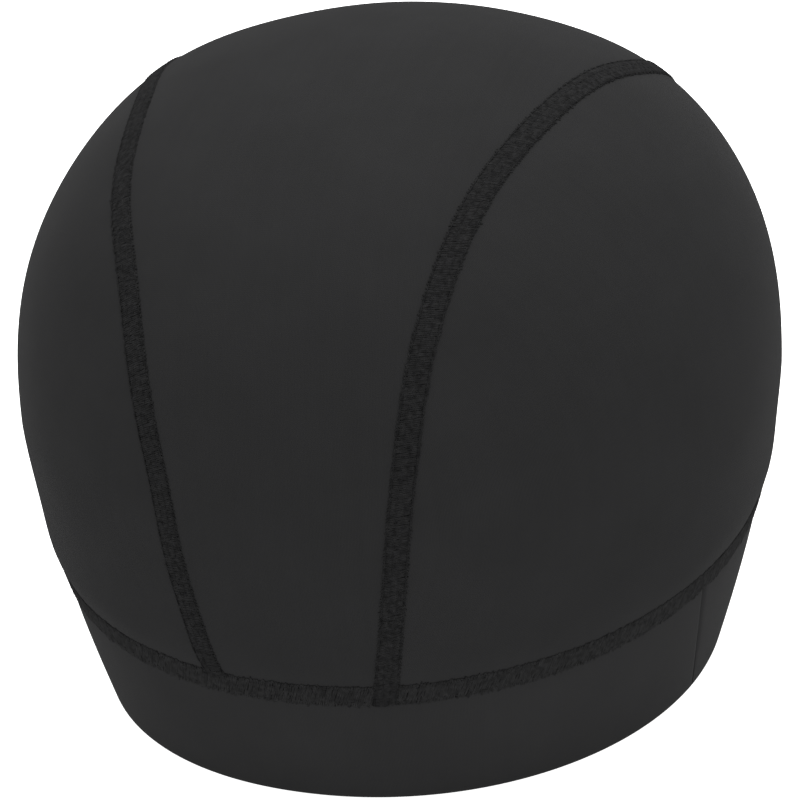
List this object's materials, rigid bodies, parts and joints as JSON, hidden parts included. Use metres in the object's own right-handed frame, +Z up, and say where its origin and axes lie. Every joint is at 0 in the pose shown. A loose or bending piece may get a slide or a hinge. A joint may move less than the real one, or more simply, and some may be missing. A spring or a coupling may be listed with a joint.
{
  "type": "athletic skull cap",
  "caption": "Close-fitting stretch-knit skull cap: centre panel over the crown, side panels, wide flat seams and a folded headband, open below.",
  "frame": {"origin": "middle of the cap in plan, on the surface that the hem's fold rests on", "axes": "+Z up; -Y is the wearer's front, +X the wearer's left"},
  "size_m": [0.1725, 0.1862, 0.15],
  "materials": {
    "crown_knit": "smooth matte stretch knit, charcoal black",
    "band_knit": "smooth matte stretch knit, charcoal black, folded double",
    "seam_thread": "dull black cover thread of a flat seam"
  },
  "bodies": {
    "root": {"crown_center_panel": "crown_knit", "crown_side_left": "crown_knit", "crown_side_right": "crown_knit", "panel_seam_left": "seam_thread", "panel_seam_right": "seam_thread", "waist_seam": "seam_thread", "headband": "band_knit"}
  },
  "joints": []
}
